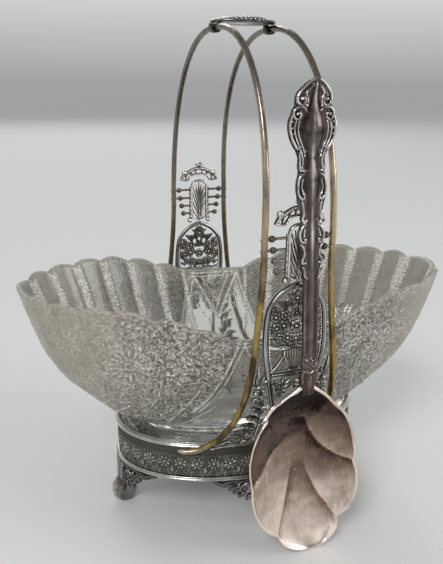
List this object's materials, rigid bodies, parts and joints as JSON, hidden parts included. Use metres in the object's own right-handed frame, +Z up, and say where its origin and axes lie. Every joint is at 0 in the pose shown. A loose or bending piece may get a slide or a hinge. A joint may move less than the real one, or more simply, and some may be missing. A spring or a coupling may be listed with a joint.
{
  "type": "brides basket",
  "caption": "Oval footed silver-plated base with openwork side panels, twin wire handles over a loose pressed-glass boat-shaped bowl, and a shell-bowled serving spoon.",
  "frame": {"origin": "middle of the bounding box's floor, on the surface that the feet and the spoon's tip stand on", "axes": "+X along the bowl's long axis and the oval base's length, -Y towards the face where the spoon stands, +Z up"},
  "size_m": [0.2416, 0.1564, 0.2685],
  "materials": {
    "band_silver": "die-rolled silver plate, tarnished grey in the hollows and rubbed bright on the mouldings",
    "cast_silver": "cast and pierced silver plate, dark tarnish with rubbed highlights",
    "polished_dish": "polished silver plate with light wear",
    "worn_wire": "silver plate worn through to warm brass on the outside of the wire",
    "clear_glass": "clear pressed glass, stippled outside, smooth in the lowered middle panels",
    "spoon_silver": "bright silver plate with a warm pink-brown tarnish, darkest at the neck"
  },
  "bodies": {
    "base": {"base_band": "band_silver", "rim_moulding": "band_silver", "lower_moulding": "band_silver", "dish": "polished_dish", "foot_right": "cast_silver", "foot_back": "cast_silver", "foot_left": "cast_silver", "foot_front": "cast_silver", "handle_left": "worn_wire", "handle_right": "worn_wire", "top_medallion": "band_silver", "medallion_clasp_left": "cast_silver", "medallion_clasp_right": "cast_silver", "arch_frame_front": "cast_silver", "flower_screen_front": "cast_silver", "fan_front": "cast_silver", "palmettes_front": "cast_silver", "crest_front": "cast_silver", "peg_rack_front_left": "cast_silver", "peg_rack_front_right": "cast_silver", "roof_front": "cast_silver", "finial_front": "cast_silver", "vine_front_left": "cast_silver", "vine_front_right": "cast_silver", "arch_frame_back": "cast_silver", "flower_screen_back": "cast_silver", "fan_back": "cast_silver", "palmettes_back": "cast_silver", "crest_back": "cast_silver", "peg_rack_back_left": "cast_silver", "peg_rack_back_right": "cast_silver", "roof_back": "cast_silver", "finial_back": "cast_silver", "vine_back_left": "cast_silver", "vine_back_right": "cast_silver"},
    "bowl": {"glass_bowl": "clear_glass"},
    "spoon": {"spoon": "spoon_silver"}
  },
  "joints": [
    {"name": "bowl_lift", "type": "slide", "parent": "base", "child": "bowl", "axis": [0, 0, 1], "range_m": [0, 0.04]},
    {"name": "spoon_lift", "type": "slide", "parent": "base", "child": "spoon", "axis": [0, -0.6, 0.8], "range_m": [0, 0.08]}
  ]
}
